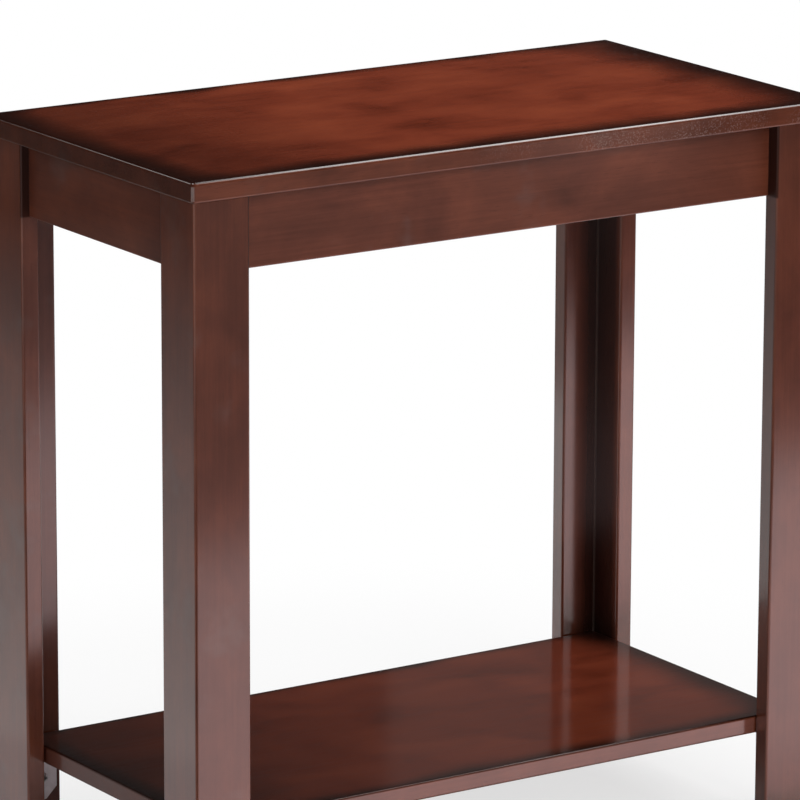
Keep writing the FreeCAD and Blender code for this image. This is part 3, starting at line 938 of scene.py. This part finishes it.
class TABLE_OT_screws(Operator):
    """Model the screws with domed heads and cross recesses"""
    bl_idname = "end_table.screws"
    bl_label = "Screws"

    def execute(self, context):
        hardware = context.scene.end_table.hardware
        material = zinc_material("screw_steel", hardware.screw, hardware.zinc_dull, hardware.screw_metal,
                                 hardware)
        upwards = Vector((0.0, 0.0, 1.0))
        outwards = Vector((0.0, 1.0, 0.0))
        screw_group("bracket_leg_screws", "leg_bracket_screws_domed", outwards, hardware, material)
        screw_group("bracket_shelf_screws", "shelf_bracket_screws_domed", upwards, hardware, material)
        screw_group("top_screws", "top_screws_domed", upwards, hardware, material)
        return {"FINISHED"}


def stage_object(name, mesh, material):
    """Link a mesh as part of the stage."""
    data = bpy.data.meshes.new(name)
    mesh.to_mesh(data)
    mesh.free()
    data.materials.append(material)
    data.shade_smooth()
    thing = bpy.data.objects.new(name, data)
    bpy.context.scene.collection.objects.link(thing)
    return thing


def paper_material(studio):
    """Pale paper: lit and shaded round the table, plain white further out, clear from below."""
    shader = Shader("studio_paper")
    x, y, _ = shader.axes(shader.place)
    squares = shader.total((shader.math("MULTIPLY", x, x), 1.0), (shader.math("MULTIPLY", y, y), 1.0))
    outer = shader.step(shader.math("SQRT", squares), studio.pool_inner, studio.pool_outer)
    path = shader.add("ShaderNodeLightPath").outputs
    lifted = shader.total((outer, 1.0 - studio.pool_white), (studio.pool_white, 1.0))
    share = shader.math("MULTIPLY", path["Is Camera Ray"], lifted)
    mirrored = shader.math("MAXIMUM", path["Is Glossy Ray"], path["Is Transmission Ray"])
    share = shader.math("MAXIMUM", share, shader.math("MULTIPLY", mirrored, outer))
    lit = shader.add("ShaderNodeBsdfDiffuse", {"Color": solid(studio.paper)}).outputs[0]
    white = shader.add("ShaderNodeEmission", {"Strength": 1.0}).outputs[0]
    front = shader.add("ShaderNodeMixShader", {0: share, 1: lit, 2: white})
    clear = shader.add("ShaderNodeBsdfTransparent").outputs[0]
    below = shader.add("ShaderNodeNewGeometry").outputs["Backfacing"]
    paper = shader.add("ShaderNodeMixShader", {0: below, 1: front.outputs[0], 2: clear})
    return shader.finish(paper.outputs[0])


def floor_and_backdrop(studio):
    """Round floor whose rim curves up all round."""
    mesh = bmesh.new()
    ring = bmesh.ops.create_circle(mesh, segments=FLOOR_SIDES, radius=studio.floor_reach,
                                   cap_ends=True)["verts"]
    for turn in BACKDROP_TURNS:
        angle = turn * math.pi / 2
        reach = studio.floor_reach + studio.wall_height * math.sin(angle)
        ring = next_ring(mesh, ring, reach, studio.wall_height * (1.0 - math.cos(angle)))
    bmesh.ops.recalc_face_normals(mesh, faces=mesh.faces)
    if max(mesh.faces, key=lambda face: face.calc_area()).normal.z < 0:
        bmesh.ops.reverse_faces(mesh, faces=mesh.faces)
    stage_object("studio_floor", mesh, paper_material(studio))


def mirrored_card(name, mesh, material):
    """Card or sheet of the stage that shows only where a surface mirrors it."""
    card = stage_object(name, mesh, material)
    card.visible_camera = False
    card.visible_diffuse = False
    card.visible_shadow = False
    card.visible_transmission = False


def round_card(radius, height, start, sweep, foot=0.0):
    """Arc of a standing ring."""
    mesh = bmesh.new()
    ring = bmesh.ops.create_circle(mesh, segments=CARD_SIDES, radius=radius)["verts"]
    cut = [vert for vert in ring if (math.atan2(vert.co.y, vert.co.x) - start) % math.tau > sweep]
    arc = [vert for vert in ring if vert not in cut]
    bmesh.ops.delete(mesh, geom=cut, context="VERTS")
    bmesh.ops.translate(mesh, verts=arc, vec=(0.0, 0.0, foot))
    next_ring(mesh, arc, radius, foot + height)
    return mesh


def straight_card(low, high):
    """Upright sheet between two corners."""
    mesh = bmesh.new()
    corners = ((low.x, low.y, low.z), (high.x, high.y, low.z),
               (high.x, high.y, high.z), (low.x, low.y, high.z))
    bmesh.ops.contextual_create(mesh, geom=[mesh.verts.new(corner) for corner in corners])
    return mesh


def flat_sheet(low, high):
    """Level sheet between two corners."""
    mesh = bmesh.new()
    corners = ((low.x, low.y), (high.x, low.y), (high.x, high.y), (low.x, high.y))
    bmesh.ops.contextual_create(mesh, geom=[mesh.verts.new((*corner, low.z)) for corner in corners])
    return mesh


def even_glow(name, tone, strength=1.0):
    """Plain light of one tone."""
    shader = Shader(name)
    glow = shader.add("ShaderNodeEmission", {"Color": solid(tone), "Strength": strength})
    return shader.finish(glow.outputs[0])


def graded_glow(name, low, high, stops, strength, back=1.0):
    """Light whose tone changes from left to right, and that may dim towards its back edge."""
    shader = Shader(name)
    x, y, _ = shader.axes(shader.place)
    share = shader.math("DIVIDE", shader.math("SUBTRACT", x, low.x), high.x - low.x)
    away = shader.step(y, high.y, high.y + (low.y - high.y) * BACK_FADE)
    level = shader.total((away, strength * (1.0 - back)), (strength, back))
    glow = shader.add("ShaderNodeEmission", {"Color": shader.tones(share, stops), "Strength": level})
    return shader.finish(glow.outputs[0])


def card_material(name, tone):
    """Plain matt card."""
    shader = Shader(name)
    return shader.finish(shader.add("ShaderNodeBsdfDiffuse", {"Color": solid(tone)}).outputs[0])


def glow_material(name, height, foot, head):
    """Card whose tone fades from its foot to its head."""
    shader = Shader(name)
    share = shader.math("DIVIDE", shader.axes(shader.place)[ALONG_Z], height)
    tone = shader.mix(share, solid(foot), solid(head))
    return shader.finish(shader.add("ShaderNodeEmission", {"Color": tone, "Strength": 1.0}).outputs[0])


def front_card_material(studio):
    """Card that turns dark on the right, with a narrow soft box on it and a brighter one at its far right."""
    shader = Shader("front_card")
    x, _, z = shader.axes(shader.place)

    def across(shares):
        return shader.step(x, *(studio.dark_front * share for share in shares))

    def up(shares):
        return shader.step(z, *(studio.dark_height * share for share in shares))

    tone = shader.mix(across(CARD_END), solid(studio.card), solid(studio.shadow))
    near = shader.math("MULTIPLY", up(NEAR_BOX_FOOT), across(NEAR_BOX_LEFT))
    near = shader.math("MULTIPLY", near, across(NEAR_BOX_RIGHT))
    far = shader.math("MULTIPLY", up(FAR_BOX_FOOT), across(FAR_BOX_LEFT))
    tone = shader.mix(shader.math("MAXIMUM", near, far), tone, solid(studio.white))
    strength = shader.total((near, studio.near_box_glow - 1.0), (far, studio.far_box_glow - 1.0), (1.0, 1.0))
    glow = shader.add("ShaderNodeEmission", {"Color": tone, "Strength": strength})
    return shader.finish(glow.outputs[0])


def mirrored_cards(studio):
    """Cards round the table and sheets below and above it, each for the faces that mirror it."""
    mirrored_card("dark_card_round", round_card(studio.dark_radius, studio.dark_height, studio.dark_start,
                                                studio.dark_sweep), card_material("dark_card", studio.dark))
    low = Vector((-studio.dark_front / 2, -studio.dark_front, 0.0))
    high = Vector((studio.dark_front * 2, -studio.dark_front, studio.dark_height))
    mirrored_card("dark_card_front", straight_card(low, high), front_card_material(studio))
    fading = glow_material("fading_card", studio.fade_height, studio.fade, studio.shadow)
    mirrored_card("fading_card", round_card(studio.fade_radius, studio.fade_height, studio.fade_start,
                                            studio.fade_sweep), fading)
    mirrored_card("haze_card", round_card(studio.haze_radius, studio.haze_height, studio.haze_start,
                                          studio.haze_sweep, studio.haze_foot),
                  even_glow("haze_card", studio.haze))
    mirrored_card("strip_card", round_card(studio.haze_radius, studio.strip_height, studio.strip_start,
                                           studio.strip_sweep), even_glow("strip_card", studio.strip))
    box_tones = (studio.box_dim, studio.box_half, studio.box_half,
                 studio.box_full, studio.box_full, studio.box_right)
    box_stops = tuple(zip(BOX_TONE_PLACES, box_tones))
    mirrored_card("edge_box", flat_sheet(studio.box_low, studio.box_high),
                  graded_glow("edge_box", studio.box_low, studio.box_high, box_stops, studio.box_glow))
    rose_stops = tuple(zip(ROSE_TONE_PLACES, (studio.rose_left, studio.rose)))
    mirrored_card("rose_sheet", flat_sheet(studio.rose_low, studio.rose_high),
                  graded_glow("rose_sheet", studio.rose_low, studio.rose_high, rose_stops, studio.rose_glow,
                              studio.rose_back))
    sheets = (
        ("grey_sheet", studio.grey_low, studio.grey_high, studio.grey, 1.0),
        ("dusk_sheet", studio.dusk_low, studio.dusk_high, studio.dusk, 1.0),
        ("corner_sheet", studio.corner_low, studio.corner_high, studio.white, studio.corner_glow),
    )
    for name, low, high, tone, strength in sheets:
        mirrored_card(name, flat_sheet(low, high), even_glow(name, tone, strength))


def soft_lamp(name, place, width, power, aim_height):
    """Square soft lamp aimed at the table's middle."""
    data = bpy.data.lights.new(name, "AREA")
    data.shape = "SQUARE"
    data.size = width
    data.energy = power
    lamp = bpy.data.objects.new(name, data)
    lamp.location = place
    away = Vector(place) - Vector((0.0, 0.0, aim_height))
    lamp.rotation_euler = away.to_track_quat("Z", "Y").to_euler()
    lamp.visible_camera = False
    bpy.context.scene.collection.objects.link(lamp)
    return lamp


def dim_room(studio):
    """World that gives only a little light."""
    world = bpy.data.worlds.new("studio_room")
    world.use_nodes = True
    world.node_tree.nodes["Background"].inputs["Color"].default_value = solid(studio.shadow)
    bpy.context.scene.world = world


def photo_camera(studio):
    """Long lens that looks down on the front left corner."""
    data = bpy.data.cameras.new("photo_camera")
    data.lens = studio.lens
    data.shift_x = studio.sideways
    camera = bpy.data.objects.new("photo_camera", data)
    level = math.cos(studio.elevation)
    back = Vector((math.sin(studio.azimuth) * level, -math.cos(studio.azimuth) * level,
                   math.sin(studio.elevation)))
    turn = back.to_track_quat("Z", "Y").to_matrix().to_4x4()
    camera.matrix_world = Matrix.Translation(studio.eye) @ turn @ Matrix.Rotation(studio.roll, 4, "Z")
    bpy.context.scene.collection.objects.link(camera)
    bpy.context.scene.camera = camera


class TABLE_OT_stage(Operator):
    """Set up the floor, the cards, the lamps and the camera"""
    bl_idname = "end_table.stage"
    bl_label = "Studio"

    def execute(self, context):
        studio = context.scene.end_table.studio
        floor_and_backdrop(studio)
        mirrored_cards(studio)
        dim_room(studio)
        soft_lamp("edge_lamp", studio.edge_place, studio.edge_width, studio.edge_power, studio.aim_height)
        fills = (
            soft_lamp("key_lamp", studio.key_place, studio.key_width, studio.key_power, studio.aim_height),
            soft_lamp("front_lamp", studio.front_place, studio.front_width, studio.front_power,
                      studio.aim_height),
            soft_lamp("left_lamp", studio.left_place, studio.left_width, studio.left_power,
                      studio.aim_height),
            soft_lamp("back_lamp", studio.back_place, studio.back_width, studio.back_power,
                      studio.aim_height),
        )
        for lamp in fills:
            lamp.visible_glossy = False
        photo_camera(studio)
        context.scene.view_settings.view_transform = "Standard"
        return {"FINISHED"}


PIECES = (TABLE_OT_top, TABLE_OT_shelf, TABLE_OT_aprons, TABLE_OT_legs, TABLE_OT_blocks,
          TABLE_OT_brackets, TABLE_OT_screws, TABLE_OT_stage)


class TABLE_PT_pieces(Panel):
    """Buttons that dress each piece of the table"""
    bl_idname = "TABLE_PT_pieces"
    bl_label = "End Table"
    bl_space_type = "VIEW_3D"
    bl_region_type = "UI"
    bl_category = "End Table"

    def draw(self, context):
        for piece in PIECES:
            self.layout.operator(piece.bl_idname)


CLASSES = (CherryFinish, HardwareFinish, Studio, EndTable, *PIECES, TABLE_PT_pieces)


def register():
    for item in CLASSES:
        bpy.utils.register_class(item)
    bpy.types.Scene.end_table = PointerProperty(name="End table", description="Settings of the end table",
                                                type=EndTable)


def unregister():
    del bpy.types.Scene.end_table
    for item in reversed(CLASSES):
        bpy.utils.unregister_class(item)


def main():
    """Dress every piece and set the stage."""
    register()
    bpy.ops.end_table.top()
    bpy.ops.end_table.shelf()
    bpy.ops.end_table.aprons()
    bpy.ops.end_table.legs()
    bpy.ops.end_table.blocks()
    bpy.ops.end_table.brackets()
    bpy.ops.end_table.screws()
    bpy.ops.end_table.stage()


if __name__ == "__main__":
    main()
